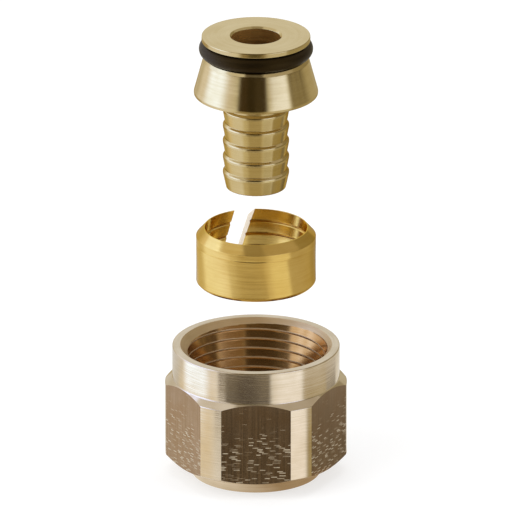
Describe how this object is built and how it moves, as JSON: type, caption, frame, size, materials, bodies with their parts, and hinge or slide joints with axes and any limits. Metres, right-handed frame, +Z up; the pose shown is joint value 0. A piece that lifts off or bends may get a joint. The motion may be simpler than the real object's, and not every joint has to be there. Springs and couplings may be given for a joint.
{
  "type": "pex compression fitting",
  "caption": "Brass compression fitting for plastic pipe, taken apart along its axis: hexagonal union nut, split clamping ring, barbed insert with a cone head and a rubber seal.",
  "frame": {"origin": "middle of the union nut's foot, on the surface that it stands on", "axes": "+Z up the common axis of the pieces, -Y out of one flat of the nut, towards the picture's camera"},
  "size_m": [0.027, 0.025, 0.0689],
  "materials": {
    "nut_brass": "turned bright on the collar, corners and foot, brown drawn skin on the flats",
    "ring_brass": "satin, finely turned",
    "insert_brass": "bright turned",
    "seal_rubber": "moulded, satin"
  },
  "bodies": {
    "nut": {"union_nut": "nut_brass"},
    "ring": {"split_ring": "ring_brass"},
    "insert": {"barbed_insert": "insert_brass", "seal_ring": "seal_rubber"}
  },
  "joints": [
    {"name": "ring_slide", "type": "slide", "parent": "nut", "child": "ring", "axis": [0, 0, 1], "range_m": [-0.02655, 0]},
    {"name": "insert_slide", "type": "slide", "parent": "ring", "child": "insert", "axis": [0, 0, 1], "range_m": [-0.02095, 0]}
  ]
}
